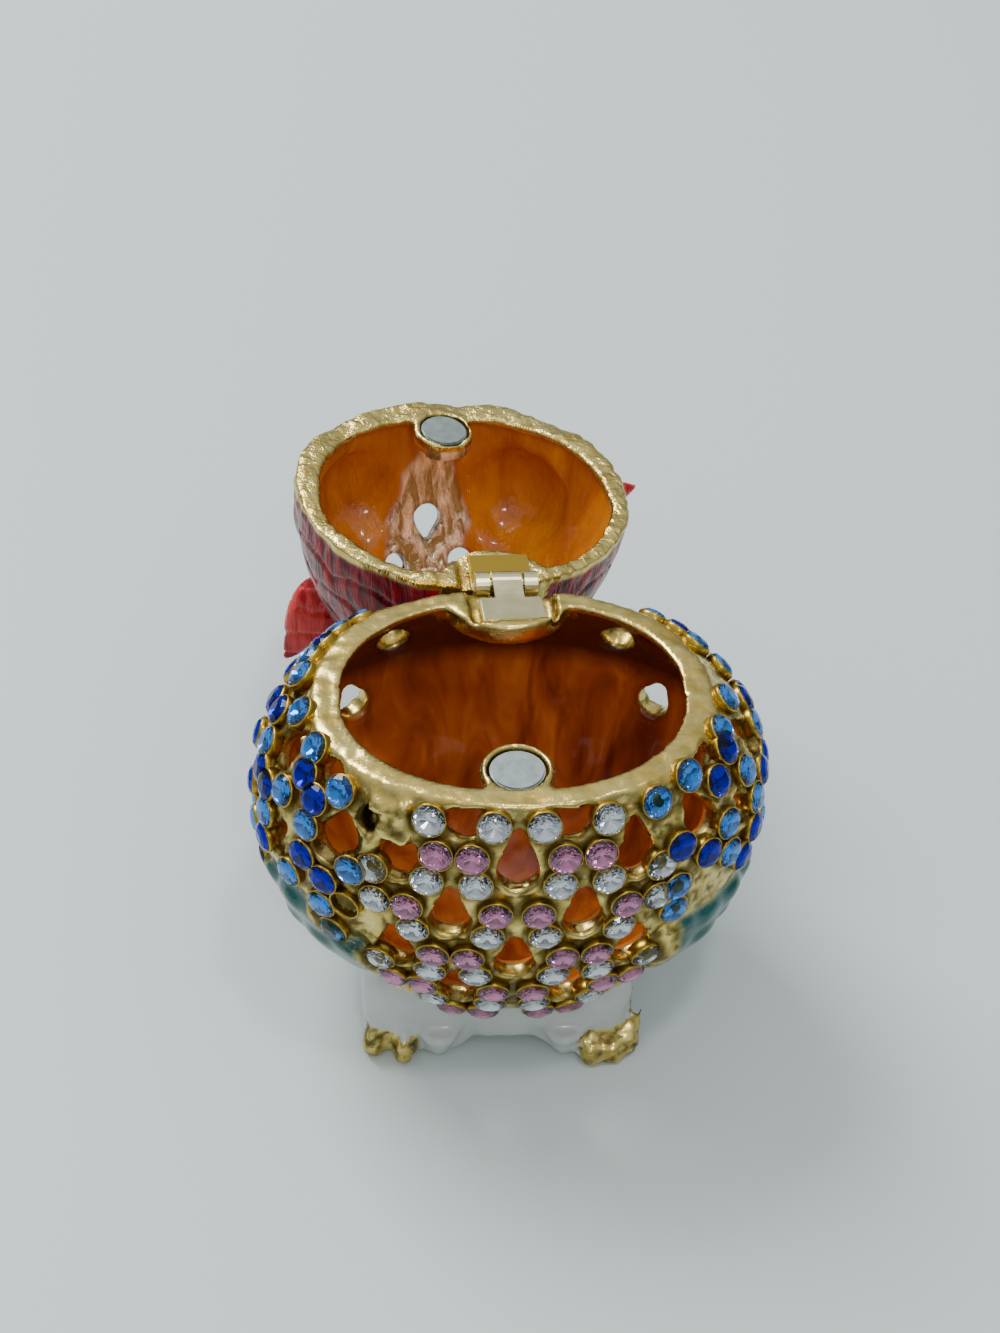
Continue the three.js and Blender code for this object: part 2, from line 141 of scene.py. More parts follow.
def block(low, high):
    low, high = Vector(low), Vector(high)
    bm = bmesh.new()
    matrix = Matrix.Translation((low + high) / 2) @ Matrix.Diagonal((*(high - low), 1))
    bmesh.ops.create_cube(bm, size=1, matrix=matrix)
    return bm


def disc(radius, low, high, place=Matrix(), sides=24, top=None):
    bm = bmesh.new()
    bmesh.ops.create_cone(
        bm, cap_ends=True, segments=sides, radius1=radius, radius2=radius if top is None else top,
        depth=high - low, matrix=place.to_4x4() @ Matrix.Translation((0, 0, (high + low) / 2)),
    )
    return bm


def seat(point, normal, turn=0.0):
    """The frame of a thing that stands on a surface: its own Z points outward and its Y up."""
    climb = (Vector((0, 0, 1)) - normal * normal.z).normalized()
    across = climb.cross(normal)
    axes = Matrix((across, climb, normal)).transposed().to_4x4()
    return Matrix.Translation(point) @ axes @ Matrix.Rotation(math.radians(turn), 4, "Z")


def joined(solids):
    whole = bmesh.new()
    for solid in solids:
        mesh = bpy.data.meshes.new("part")
        solid.to_mesh(mesh)
        solid.free()
        whole.from_mesh(mesh)
        bpy.data.meshes.remove(mesh)
    return whole


def object_of(bm, name):
    mesh = bpy.data.meshes.new(name)
    bm.to_mesh(mesh)
    bm.free()
    made = bpy.data.objects.new(name, mesh)
    bpy.context.scene.collection.objects.link(made)
    return made


def with_modifiers(made):
    """The bmesh of an object with its modifiers carried out; the object itself is dropped."""
    bpy.context.view_layer.update()
    mesh = bpy.data.meshes.new_from_object(made.evaluated_get(bpy.context.evaluated_depsgraph_get()))
    bm = bmesh.new()
    bm.from_mesh(mesh)
    bpy.data.meshes.remove(mesh)
    bpy.data.meshes.remove(made.data)
    return bm


def combined(solid, tools, operation="DIFFERENCE"):
    made = object_of(solid, "blank")
    held = [object_of(tool, "tool") for tool in tools]
    for tool in held:
        step = made.modifiers.new("step", "BOOLEAN")
        step.operation, step.solver, step.object = operation, "EXACT", tool
    bm = with_modifiers(made)
    for tool in held:
        bpy.data.meshes.remove(tool.data)
    return bm


def fused(solids, grain, smoothing):
    made = object_of(joined(solids), "blank")
    skin = made.modifiers.new("skin", "REMESH")
    skin.mode, skin.voxel_size = "VOXEL", grain
    ease = made.modifiers.new("ease", "SMOOTH")
    ease.factor, ease.iterations = 0.5, smoothing
    return with_modifiers(made)


# Openwork: teardrop windows, point up, in staggered rows on the breast and in slanting chains on each
# wing, with set stones round each window. The places on the wings were measured and differ left and
# right. A wing's window is (around, up, width, height).
across, down, top_row = 13.3, 15.6, 35.5
wing_from, wing_ground = 36, 0.3


def breast_windows():
    return [
        (column * across, top_row - row * down)
        for row in range(5) for column in range(-2, 3) if (row + column) % 2
    ]


left_windows = [
    (95.5, 30, 2.2, 3), (76, 25.5, 3.6, 5.8), (56.5, 30.5, 2.6, 3.6), (63, 7, 2.6, 6), (43.5, 17.5, 3.8, 6.8),
]
right_windows = [(61.5, 32.5, 3.2, 4.2), (83.5, 23, 3.6, 5.8), (46, 21.5, 3.7, 6.2), (63, 15, 2.4, 5.2)]
hidden_windows = [
    (107, 21, 3.4, 5.6), (127, 22, 3.4, 5.6), (148, 23, 3.4, 5.6),
    (101, 2, 3, 5.6), (119.5, 1, 3.4, 5.6), (138, 1, 3.4, 5.6),
]
left_stones = {
    "light": [
        (127, 28), (111, 28.5), (101, 29.5), (83.5, 30.5), (66, 30.5), (48, 27.5), (84, 20), (65, 18.5),
        (70.5, 8.5), (52.5, 16), (37, 10.5), (57, -1), (45.5, -4.5), (43.5, -12.5),
    ],
    "dark": [
        (119, 28.5), (98.5, 22), (91, 24.5), (79.5, 15.5), (73, 15), (91, 1.5), (61.5, 25.5), (53.5, 22.5),
        (70.5, 0.5), (52, 7.5), (44.5, 4), (79, -13),
    ],
}
right_stones = {
    "light": [
        (118, 28.5), (112, 23), (89.5, 29.5), (73.5, 30.5), (49.5, 30.5), (36, 28.5), (69.5, 20.5), (92, 18),
        (54, 14.5), (53.5, 6), (70, 12), (36, 4.5), (35.5, -2.8),
    ],
    "dark": [
        (127, 28), (106, 17), (99, 20.5), (68.5, 28), (57, 25), (89.5, 10.5), (80, 13), (37.5, 16),
        (45.5, 10.5), (60, 0.5), (67, 4.8),
    ],
}
hidden_stones = [
    ("light", 117, 26.5), ("dark", 117, 18.8), ("light", 137.5, 27), ("dark", 137.5, 19), ("light", 158, 18),
    ("dark", 97.5, 11.5), ("light", 105, 11.2), ("dark", 112.5, 10.8), ("dark", 126, 10.8),
    ("light", 133, 10.8), ("dark", 145, 11), ("light", 153, 11.5), ("light", 110.5, 3.5), ("dark", 110.5, -4),
    ("dark", 129, 3.5), ("light", 129, -4), ("dark", 148, 3.5), ("light", 85.5, -6), ("light", 93.5, -7),
    ("dark", 89, -14), ("light", 98, -14.5), ("dark", 107, -13), ("light", 116, -12.5), ("dark", 125, -12.5),
    ("light", 134, -12.5),
]
window_spacing, stone_spacing = 3.3, 2.6
cut_low, cut_high = -3.4, 4


def apart(first, second):
    return (body_point(*first[:2]) - body_point(*second[:2])).length


def windows():
    """(around, up, width, height, slant) of every window."""
    places = []
    for around, up in breast_windows():
        top = up > 30
        places.append((around, up, 4.0 if top else 3.8, 8.4 if top else 6.9, 0))
    for side, seen, stones in ((-1, left_windows, left_stones), (1, right_windows, right_stones)):
        taken = [*seen, *stones["light"], *stones["dark"]]
        hidden = [w for w in hidden_windows if all(apart(w, other) > window_spacing for other in taken)]
        places += [(side * a, u, wide, high, side * 18) for a, u, wide, high in seen + hidden]
    return places


def teardrop(frame_at, wide, high, low, top):
    radius = wide / 2
    centre = radius - high / 2
    lean = math.acos(radius / (high - radius))
    outline = [(0, high / 2, low)]
    steps = 12
    for i in range(steps + 1):
        angle = math.pi / 2 - lean - i / steps * 2 * (math.pi - lean)
        outline.append((radius * math.cos(angle), centre + radius * math.sin(angle), low))
    return moved(prism(outline, (0, 0, top - low)), frame_at)


def lift(around):
    return wing_ground if abs(around) > wing_from else 0.0


def window_frames():
    """The frame, width and height of every window."""
    return [
        (seat(body_point(a, u, lift(a)), facing(a, u), slant), wide, high)
        for a, u, wide, high, slant in windows()
    ]


# Stones: clear and pink on the breast, light and dark blue on the wings, each a foiled glass chaton
# 3 mm across in a cup.
def breast_stones():
    stones = []
    for around, up in breast_windows():
        for side in (-1, 1):
            at_wing = side * around > across * 1.5
            stones.append(("clear", around + side * (5.2 if at_wing else 8), up - 0.47 * down))
            low = up - 1.02 * down
            kind = "clear" if at_wing and up > 0 else "pink"
            stones.append((kind, around + side * 3.8 / math.cos(math.radians(low)), low))
    return stones


def wing_stones():
    stones = []
    for side, seen in ((-1, left_stones), (1, right_stones)):
        own = [(kind, side * a, u) for kind, places in seen.items() for a, u in places]
        for kind, a, u in hidden_stones:
            if all(apart((side * a, u), other[1:]) > stone_spacing for other in own):
                own.append((kind, side * a, u))
        stones += own
    return stones


all_stones = breast_stones() + wing_stones()


def body_hollow():
    return shaped_ball(body_point, -body_wall, 48, 28)


def slab(low, high):
    """A cutter wider than the whole box, between two heights."""
    return block((-40, -40, low), (40, 40, high))


def under_feet():
    return slab(-40, 0)


def wall_cutters():
    """What every layer of the wall loses: the bowl, and all above the rim and under the feet."""
    return [body_hollow(), slab(rim_top, 80), under_feet()]


def window_cutters():
    return joined([teardrop(f, wide, high, cut_low, cut_high) for f, wide, high in window_frames()])


def lips():
    """A raised edge round each window that isn't cut by the rim."""
    return [
        teardrop(f, wide + 0.95, high + 1.15, -0.8, 0.28)
        for f, wide, high in window_frames() if f.translation.z < 32.9
    ]


def wing_side(side):
    """The ground of one wing: a thicker layer on the body's side, scalloped along its lower edge."""
    outline = [(-12.6, 36.2), (-14.4, 30), (-14.9, 25), (-14.3, 20), (-13, 16)]
    for y, z in ((-9.5, 10.5), (-4.5, 8.6), (2.5, 8.4), (8.5, 10)):
        outline += [(y, z), (y + 3.4, z + 2.6)]
    outline += [(14.9, 18), (15.2, 24), (14.5, 30), (13.5, 36.2)]
    slice_of_wing = prism([(9 * side, y, z) for y, z in outline], (18 * side, 0, 0))
    return combined(shaped_ball(body_point, wing_ground), [slice_of_wing], "INTERSECT")


def feathers(side):
    """The enamelled tips below the stones of a wing, each lapping over the next."""
    tips = []
    rows = [(around, -27 - 4 * eased(40, 75, around), 5.4) for around in (46, 58, 71, 86, 101, 116, 131)]
    rows += [(around, -19, 4.0) for around in ((53, 64, 78) if side < 0 else (44, 54, 65, 77))]
    for around, up, reach in rows:
        way = (facing(side * around, up) + Vector((0, 0, -0.12))).normalized()
        frame_at = seat(body_point(side * around, up, 0.15), way, side * 24)
        tips.append(moved(ball((3.0, reach, 0.95), (0, 0, 0), around=28, rows=20), frame_at))
    return tips


def ridge(places, radius):
    """A raised cord of metal on the body's face, from one place to the next."""
    beads = []
    for (a1, u1), (a2, u2) in zip(places, places[1:]):
        for i in range(5):
            t = i / 5
            point = body_point(a1 + (a2 - a1) * t, u1 + (u2 - u1) * t, 0.2)
            beads.append(ball((radius, radius, radius), point, around=10, rows=8))
    return beads


def curls():
    """The worn place between breast and left wing, where the cast scrolls stand bare."""
    draw = random.Random(4)
    lumps = []
    while len(lumps) < 44:
        up = draw.uniform(3, 30)
        around = draw.uniform(-40, -24) if up > 21 else draw.uniform(-37, -32)
        size = draw.uniform(0.32, 0.62)
        bend = Matrix.Rotation(draw.uniform(0, 3), 4, "X") @ Matrix.Rotation(draw.uniform(0, 3), 4, "Y")
        if all(apart((around, up), stone[1:]) > 2.0 for stone in all_stones):
            lumps.append(ball((size * 0.7, size * 1.9, size * 0.8), body_point(around, up, 0.4), bend, 8, 6))
    return lumps


# Two gaps beside the left wing, (around, up, width, height, reach of the black painted in them as shade), and
# below them the cup of a lost stone.
cast_gaps = ((-36.6, 24.5, 0.8, 1.3, 1.1), (-38.8, 17.5, 0.75, 1.8, 1.4))
empty_cup = (-38.2, -1)


def gaps():
    """The holes where the casting didn't fill, and the empty cup."""
    holes = []
    for around, up, wide, high, _ in cast_gaps:
        frame_at = seat(body_point(around, up), body_normal(around, up), 8)
        holes.append(moved(ball((wide, high, 1.5), (0, 0, 0), around=12, rows=10), frame_at))
    around, up = empty_cup
    holes.append(disc(1.25, -0.5, 2, seat(body_point(around, up), body_normal(around, up)), 18, 1.4))
    return holes


# The catch magnets and the pin, which is set a little askew as photographed.
magnet_forward, magnet_radius, magnet_thick = 10.2, 2.5, 1.6
magnet_pocket, pocket_slack = magnet_radius + 0.2, 0.4
pin_place = Vector((0, 16.85, 35.1))
pin_axis = Vector((0.9926, 0.1046, -0.0623)).normalized()
pin_turn = Vector((1, 0, 0)).rotation_difference(pin_axis).to_matrix().to_4x4()
pin_frame = Matrix.Translation(pin_place) @ pin_turn


def hinge_room(plate_low, plate_high, barrel_low, barrel_high, reach=5.9):
    """The recess in a casting for a hinge leaf and for the knuckles at its end."""
    plate_room = block((-4.3, -reach, plate_low), (4.3, 12, plate_high))
    barrel_room = block((-4.3, -2.0, barrel_low), (4.3, 12, barrel_high))
    return [moved(plate_room, pin_frame), moved(barrel_room, pin_frame)]


def at_magnet(radius, low, high, sides=32):
    """A disc at the place of the catch magnets."""
    return disc(radius, low, high, Matrix.Translation((0, -magnet_forward, 0)), sides)


lip_top, band_low = 35.6, 35.3


def body_solids():
    solids = [combined(shaped_ball(body_point, 0), [*wall_cutters(), window_cutters()])]
    for side in (-1, 1):
        solids.append(combined(wing_side(side), [*wall_cutters(), window_cutters()]))
        for tip in feathers(side):
            solids.append(combined(tip, [body_hollow()]))
    solids += ridge([(31.6, 25), (32.4, 18)], 0.32)
    solids.append(combined(joined(lips()), [window_cutters(), slab(lip_top, 80)]))
    solids += curls()
    solids.append(combined(shaped_ball(body_point, 0.2), [*wall_cutters(), slab(-40, band_low)]))
    hinge_boss = Matrix.Translation((0, 15.6, 0)) @ Matrix.Diagonal((6.8, 6.8, 1, 1))
    for boss in (at_magnet(3.4, rim_top - 2.5, rim_top), disc(1, rim_top - 2.4, rim_top, hinge_boss, 48)):
        solids.append(combined(boss, [shaped_ball(body_point, -0.3)], "INTERSECT"))
    tail = ball((8, 5.2, 13.5), (0, 13, 8.5), Matrix.Rotation(math.radians(14), 4, "X"))
    legs = [ball((8.4, 7, 7.4), (0, -7.2, 4.6)), ball((15, 13, 7.4), (0, 1, 4)), leg(-1), leg(1), tail]
    for form in legs:
        arch = ball((5.6, 30, 4.6), (0, -20, -2.3), around=32, rows=24)
        solids.append(combined(form, [body_hollow(), under_feet(), arch]))
    solids += claws()
    return solids


def leg(side):
    """A block with full round corners."""
    bm = bmesh.new()
    bmesh.ops.create_uvsphere(bm, u_segments=48, v_segments=32, radius=1)
    for v in bm.verts:
        reach = (abs(v.co.x) ** 4 + abs(v.co.y) ** 4 + abs(v.co.z) ** 4) ** -0.25
        v.co = Vector((
            v.co.x * reach * 6 + side * 7.5 - 1.1, v.co.y * reach * 6.2 - 7.6, v.co.z * reach * 8.2 + 4,
        ))
    return bm


def claws():
    """A pearly drip at the inner front of each foot, then two gilt claws that differ left and right."""
    forms = []
    for side in (-1, 1):
        forms.append(disc(0.75, 0.02, 4.2, Matrix.Translation((side * 6.2 - 0.7, -13.6, 0)), 16, 2.3))
    for x, forward, size in (
        (-10.3, 14.2, (1.0, 1.5, 2.4)), (-13.4, 13.2, (1.15, 1.5, 1.9)), (-10.2, 13.4, (1.3, 1.2, 2.6)),
        (8.2, 14.6, (1.35, 1.5, 1.7)), (10.2, 14.4, (1.35, 1.5, 1.7)), (11.9, 13.4, (1.3, 1.4, 1.6)),
    ):
        forms.append(combined(ball(size, (x, -forward, size[2] * 0.62), around=18, rows=14), [under_feet()]))
    spur_at = Matrix.Translation((12.6, -12.4, 1.6)) @ Matrix.Rotation(math.radians(8), 4, "Y")
    forms.append(disc(0.75, 0, 4.6, spur_at, 10, 0.15))
    return forms


first_grain, body_grain, lid_grain = 0.34, 0.42, 0.32


def recessed(bm, tools, grain):
    """Pockets are cut last, and the edges are eased by one more skin of the given grain."""
    return fused([combined(bm, tools)], grain, 1)


def eased(low, high, value):
    share = min(max((value - low) / (high - low), 0), 1)
    return share * share * (3 - 2 * share)


def body_place(point):
    """Degrees round the body and above its widest level, and how deep in its wall a point lies."""
    aside = math.copysign(abs(point.x / body_wide) ** (squareness / 2), point.x)
    ahead = math.copysign(abs(point.y / body_deep) ** (squareness / 2), -point.y)
    around = math.degrees(math.atan2(aside, ahead))
    up = math.degrees(math.asin(min(max((point.z - body_middle) / body_high, -1), 1)))
    return around, up, body_point(around, up).xy.length - point.xy.length


def marked(mesh, name, values):
    layer = mesh.attributes.new(name, "FLOAT", "POINT")
    layer.data.foreach_set("value", values)


def finished(bm, name, body, nodes=(), materials=(), smooth=True):
    """A piece drawn in millimetres, made an object in metres that rides its body."""
    for v in bm.verts:
        v.co /= 1000
    made = object_of(bm, name)
    for material in materials:
        made.data.materials.append(material)
    for face in made.data.polygons:
        face.use_smooth = smooth
    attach(made, body)
    if nodes:
        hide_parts(*nodes)
    return made


body_bm = recessed(fused(body_solids(), first_grain, 2), [
    at_magnet(magnet_pocket, rim_top - magnet_thick - pocket_slack, rim_top + 1),
    *hinge_room(-0.2, 4, -1.6, 4, 6.6), *gaps(),
], body_grain)
stone_tree = kdtree.KDTree(len(all_stones))
for index, (_, around, up) in enumerate(all_stones):
    stone_tree.insert(body_point(around, up, lift(around) + 0.2), index)
stone_tree.balance()
# The gaps and the empty cup are painted dark, as painted shade inside the holes.
dark_places = [(body_point(a, u), reach, 2) for a, u, _, _, reach in cast_gaps]
dark_places.append((body_point(*empty_cup), 1.3, 0.8))

# Each point of the skin is marked with its share of each finish, and pushed out or in by the relief.
boss_low, belly_low, belly_rise = 33.4, 7.0, 2.6
zones = {"amber": [], "pearl": [], "teal": [], "hollow": []}
pushes = []
for v in body_bm.verts:
    p = v.co
    around, up, depth = body_place(p)
    wave = noise.noise(p * 0.25) * 0.5
    # Amber lines the bowl below the rim, but not the two bosses.
    inside = eased(1.3, 1.6, depth) * eased(35.6 + wave * 0.6, 35.0 + wave * 0.6, p.z) * eased(1.6, 2.2, p.z)
    on_boss = abs(p.x) < 6.9 and p.y > 8.4 and p.z > boss_low
    if on_boss or (p.xy - Vector((0, -magnet_forward))).length < 3.8 and p.z > band_low:
        inside = 0
    # Pearl covers the legs up to the belly, without the tail and the claws.
    belly = belly_low + belly_rise * min(abs(around) / 45, 1) ** 2
    tail = abs(p.x) < 8.5 and p.y > 8 and depth < -0.3
    skirt = eased(belly + 0.5, belly, p.z + wave) if not tail else 0
    if depth < -0.7 and p.z < 12 and abs(around) < 60:
        skirt = 1
    claw = p.z < 3.4 and (p.x < -8.9 or p.x > 6.9) and p.y < -13.1 + abs(abs(p.x + 1) - 11) * 0.45
    claw = claw or p.x > 12.1 and p.y < -11 and p.z < 6.6 and (p.x > 12.5 or p.z > 3)
    skirt *= (1 - inside) * (0 if claw else 1)
    # Teal covers the tips of the wings below a wavy edge, and the tail.
    low = -14 + 7.5 * eased(46, 56, abs(around)) if around < 0 else -7.5
    edge_up = low + (-16.5 - low) * eased(70, 80, abs(around)) + 1.2 * noise.noise(p * 0.4)
    beyond_breast = eased(0, 2.5, abs(around) - (34.5 if around < 0 else 37))
    wing_tip = beyond_breast * eased(edge_up, edge_up - 2.5, up) * eased(0.9, 0.6, depth)
    if p.z <= (6 if abs(around) > 62 else 11.5):
        wing_tip = 0
    tip = max(wing_tip, 1 if tail and p.z > 1.2 else 0) * (1 - inside)
    if 62 < abs(around) < 150 and not tail and p.z < 12:
        tip *= eased(-0.1, 0.2, -depth)
    zones["amber"].append(inside)
    zones["teal"].append(tip)
    zones["pearl"].append(skirt * (1 - tip))
    # Painted shade: the hollows of the rough ground, the ground round the stones and the gaps are darkened,
    # as shade would fall in them.
    _, _, near = stone_tree.find(p)
    grit = noise.noise(p * 0.95) + noise.noise(p * 2.1 + Vector((7, 3, 1))) * 0.5
    pit_shade = max(eased(0.05, -0.45, grit) * 0.85, eased(2.5, 1.8, near) * 0.85)
    if p.z > 35 or depth > 0.5:
        pit_shade *= 0.15
    for spot, reach, dark in dark_places:
        pit_shade = max(pit_shade, eased(reach + 0.25, reach - 0.1, (p - spot).length) * dark)
    metal_share = (1 - inside) * (1 - skirt) * (1 - tip)
    zones["hollow"].append(pit_shade * metal_share)
    # The rim is wavy, the ground is rough where no stone sits, and the enamels are smooth.
    if p.z > 34.6:
        push = noise.noise(p * 0.35) * 0.28 + noise.noise(p * 1.2) * 0.16 - 0.1
        push *= eased(1.6, 1.0, depth) * 0.8
    else:
        push = grit * 0.2 * eased(1.4, 2.0, near) - 0.06
        push = (push if depth < 0.4 else 0.02 * grit) * metal_share
    if inside > 0.5 or skirt > 0.5 or tip > 0.5:
        push = noise.noise(p * 0.4) * 0.1 - 0.05
    pushes.append(push)
body_bm.normal_update()
for v, push in zip(body_bm.verts, pushes):
    v.co += v.normal * push
    v.co.z = min(max(v.co.z, 0), rim_top)
body_casting = finished(body_bm, "owl_body_casting", "base", ["body_casting"])
for name, values in zones.items():
    marked(body_casting.data, name, values)


def linear(code):
    values = [int(code[i:i + 2], 16) / 255 for i in (1, 3, 5)]
    return [v / 12.92 if v <= 0.04045 else ((v + 0.055) / 1.055) ** 2.4 for v in values] + [1.0]


def add_node(tree, kind, inputs, output=0, **settings):
    """One output of a new node, whose inputs are plain values or other nodes' outputs."""
    made = tree.nodes.new("ShaderNode" + kind)
    for name, value in settings.items():
        setattr(made, name, value)
    for socket, value in inputs.items():
        if isinstance(value, bpy.types.NodeSocket):
            tree.links.new(value, made.inputs[socket])
        else:
            made.inputs[socket].default_value = value
    return made.outputs[output]


def new_material(name):
    material = bpy.data.materials.new(name)
    material.use_nodes = True
    material.node_tree.nodes.remove(material.node_tree.nodes["Principled BSDF"])
    return material, material.node_tree


def surface(tree, shader):
    tree.links.new(shader, tree.nodes["Material Output"].inputs["Surface"])


def per(millimetres):
    """The scale of a texture whose features are this far apart."""
    return 1000 / millimetres


in_colour = {"output": 2, "data_type": "RGBA"}


def gilt(tree, place, hollow):
    """Gilding on a sand-rough casting: bright where it is rubbed, and dull in the hollows, which are also
    painted dark brown as shade.
    """
    grain = add_node(tree, "TexNoise", {"Vector": place, "Scale": per(1.6), "Detail": 4, "Roughness": 0.6})
    worn = add_node(tree, "MapRange", {"Value": grain, "From Min": 0.35, "From Max": 0.7})
    rubbed = add_node(tree, "Mix", {0: worn, 6: linear("#C4A858"), 7: linear("#EAD688")}, **in_colour)
    colour = add_node(tree, "Mix", {0: hollow, 6: rubbed, 7: linear("#4A3C18")}, **in_colour)
    polish = add_node(tree, "Mix", {0: worn, 2: 0.3, 3: 0.17})
    return colour, add_node(tree, "Mix", {0: hollow, 2: polish, 3: 0.5}), grain


def amber_flow(tree, place, stretch, swirl, tones):
    """Amber enamel that ran in streaks, darker where it is thin; tones are (place on the ramp, colour)."""
    drawn_out = add_node(tree, "Mapping", {"Vector": place, "Scale": stretch})
    streak = add_node(tree, "TexNoise", {
        "Vector": drawn_out, "Scale": per(5.0), "Detail": 3, "Roughness": 0.55, "Distortion": swirl,
    })
    flow = add_node(tree, "ValToRGB", {"Fac": streak})
    ramp = flow.node.color_ramp
    for element, (at, code) in zip(ramp.elements, (tones[0], tones[-1])):
        element.position, element.color = at, linear(code)
    for at, code in tones[1:-1]:
        ramp.elements.new(at).color = linear(code)
    return flow


# Gilded casting with three enamels: amber flows inside the bowl, pearl on the legs and teal on the feather
# tips. The enamels are smooth and glossy and the metal between them is not. High at the back of the bowl the
# amber is painted nearly brown, as painted shadow of the rim.
body_finish, tree = new_material("gilt_casting_with_enamels")
place = add_node(tree, "TexCoord", {}, "Object")
amber, pearl, teal, hollow = (add_node(tree, "Attribute", {}, "Fac", attribute_name=name) for name in zones)
colour, roughness, grain = gilt(tree, place, hollow)
flow = amber_flow(tree, place, (1, 0.8, 0.28), 1.2, [(0.32, "#7C2C04"), (0.5, "#B4540C"), (0.68, "#D87A1C")])
axes = add_node(tree, "SeparateXYZ", {"Vector": place}).node.outputs
# Painted shadow: high on the back wall of the bowl the amber is mixed towards dark brown, for the shade that
# the back rim casts there.
high = add_node(tree, "MapRange", {"Value": axes["Z"], "From Min": 0.0255, "From Max": 0.0285})
behind = add_node(tree, "MapRange", {"Value": axes["Y"], "From Min": -0.006, "From Max": 0.004})
thickness_and_rim_shadow = add_node(tree, "Math", {0: high, 1: behind}, operation="MULTIPLY")
lining = add_node(tree, "Mix", {0: thickness_and_rim_shadow, 6: flow, 7: linear("#4A1604")}, **in_colour)
colour = add_node(tree, "Mix", {0: amber, 6: colour, 7: lining}, **in_colour)
cloud = add_node(tree, "TexNoise", {"Vector": place, "Scale": per(3.0), "Detail": 2})
# The pearl is a greyish white enamel, and its tones are set darker still as painted shade on the legs.
for share, dull, bright in ((pearl, "#B2B8B4", "#CDD0CB"), (teal, "#083C3E", "#14605A")):
    clouded = add_node(tree, "Mix", {0: cloud, 6: linear(dull), 7: linear(bright)}, **in_colour)
    colour = add_node(tree, "Mix", {0: share, 6: colour, 7: clouded}, **in_colour)
enamel = add_node(tree, "Math", {0: amber, 1: pearl}, operation="MAXIMUM")
enamel = add_node(tree, "Math", {0: enamel, 1: teal}, operation="MAXIMUM")
metal = add_node(tree, "Math", {0: 1.0, 1: enamel}, operation="SUBTRACT")
relief = add_node(tree, "Math", {0: grain, 1: metal}, operation="MULTIPLY")
surface(tree, add_node(tree, "BsdfPrincipled", {
    "Base Color": colour, "Metallic": metal,
    "Roughness": add_node(tree, "Mix", {0: enamel, 2: roughness, 3: 0.26}),
    "Coat Weight": add_node(tree, "Math", {0: enamel, 1: 0.3}, operation="MULTIPLY"), "Coat Roughness": 0.06,
    "Specular IOR Level": 0.4,
    "Normal": add_node(tree, "Bump", {"Height": relief, "Strength": 0.5, "Distance": 0.00018}),
}))
body_casting.data.materials.append(body_finish)

# The stones of the body: foiled glass chatons, cut with a table and two rows of facets, each pressed
# into its cast cup. One object holds the stones of one colour.
stone_radius, stone_rise = 1.5, 0.48
chaton_rings = (
    (0.46, 0.6, 8, 0), (0.8, 0.43, 8, 22.5), (1, 0.1, 16, 11.25), (0.97, 0.0, 16, 11.25), (0.12, -0.42, 8, 0),
)


def chaton(frame_at, turn):
    """The hull of five rings, (share of the radius, height, sides, turn), foiled below the girdle."""
    bm = bmesh.new()
    for share, high, sides, twist in chaton_rings:
        matrix = Matrix.Translation((0, 0, high)) @ Matrix.Rotation(math.radians(twist + turn), 4, "Z")
        bmesh.ops.create_circle(bm, segments=sides, radius=stone_radius * share, matrix=matrix)
    hull = bmesh.ops.convex_hull(bm, input=bm.verts[:])
    loose = [e for e in hull["geom_interior"] + hull["geom_unused"] if isinstance(e, bmesh.types.BMVert)]
    bmesh.ops.delete(bm, geom=loose, context="VERTS")
    bmesh.ops.dissolve_limit(bm, angle_limit=math.radians(1), verts=bm.verts, edges=bm.edges)
    bmesh.ops.recalc_face_normals(bm, faces=bm.faces)
    for face in bm.faces:
        face.material_index = 1 if face.normal.z < -0.05 else 0
    return moved(bm, frame_at)


def glass(name, code, ior=1.54):
    """Cut and polished glass. The blues take a lower index than the real ones, for fewer white glints."""
    material, tree = new_material(name)
    surface(tree, add_node(tree, "BsdfPrincipled", {
        "Base Color": linear(code), "Roughness": 0.02, "Transmission Weight": 1.0, "IOR": ior,
    }))
    return material


def turned(outline, frame_at, sides=16):
    """A closed outline of (radius, height) spun round Z."""
    bm = bmesh.new()
    corners = [bm.verts.new((radius, 0, high)) for radius, high in outline]
    edges = [bm.edges.new(pair) for pair in zip(corners, corners[1:] + corners[:1])]
    bmesh.ops.spin(
        bm, geom=corners + edges, axis=(0, 0, 1), cent=(0, 0, 0), steps=sides, angle=2 * math.pi,
        use_merge=True,
    )
    bmesh.ops.remove_doubles(bm, verts=bm.verts, dist=1e-4)
    bmesh.ops.recalc_face_normals(bm, faces=bm.faces)
    return moved(bm, frame_at)


# Each stone lies in a thin cup, whose edge is rubbed over the girdle; its gilding is worn and plain.
cup = ((1.58, -0.6), (1.62, 0.4), (1.58, 0.55), (1.49, 0.54), (1.42, 0.4), (1.4, -0.6))
cup_finish, tree = new_material("rubbed_gilt_cup_rims")
surface(tree, add_node(tree, "BsdfPrincipled", {
    "Base Color": linear("#B4963C"), "Metallic": 1.0, "Roughness": 0.3,
}))
cup_places = [stone[1:] for stone in all_stones] + [empty_cup]
cups = joined([turned(cup, seat(body_point(a, u, lift(a)), facing(a, u))) for a, u in cup_places])
finished(cups, "stone_cup_rims", "base", (), [cup_finish])

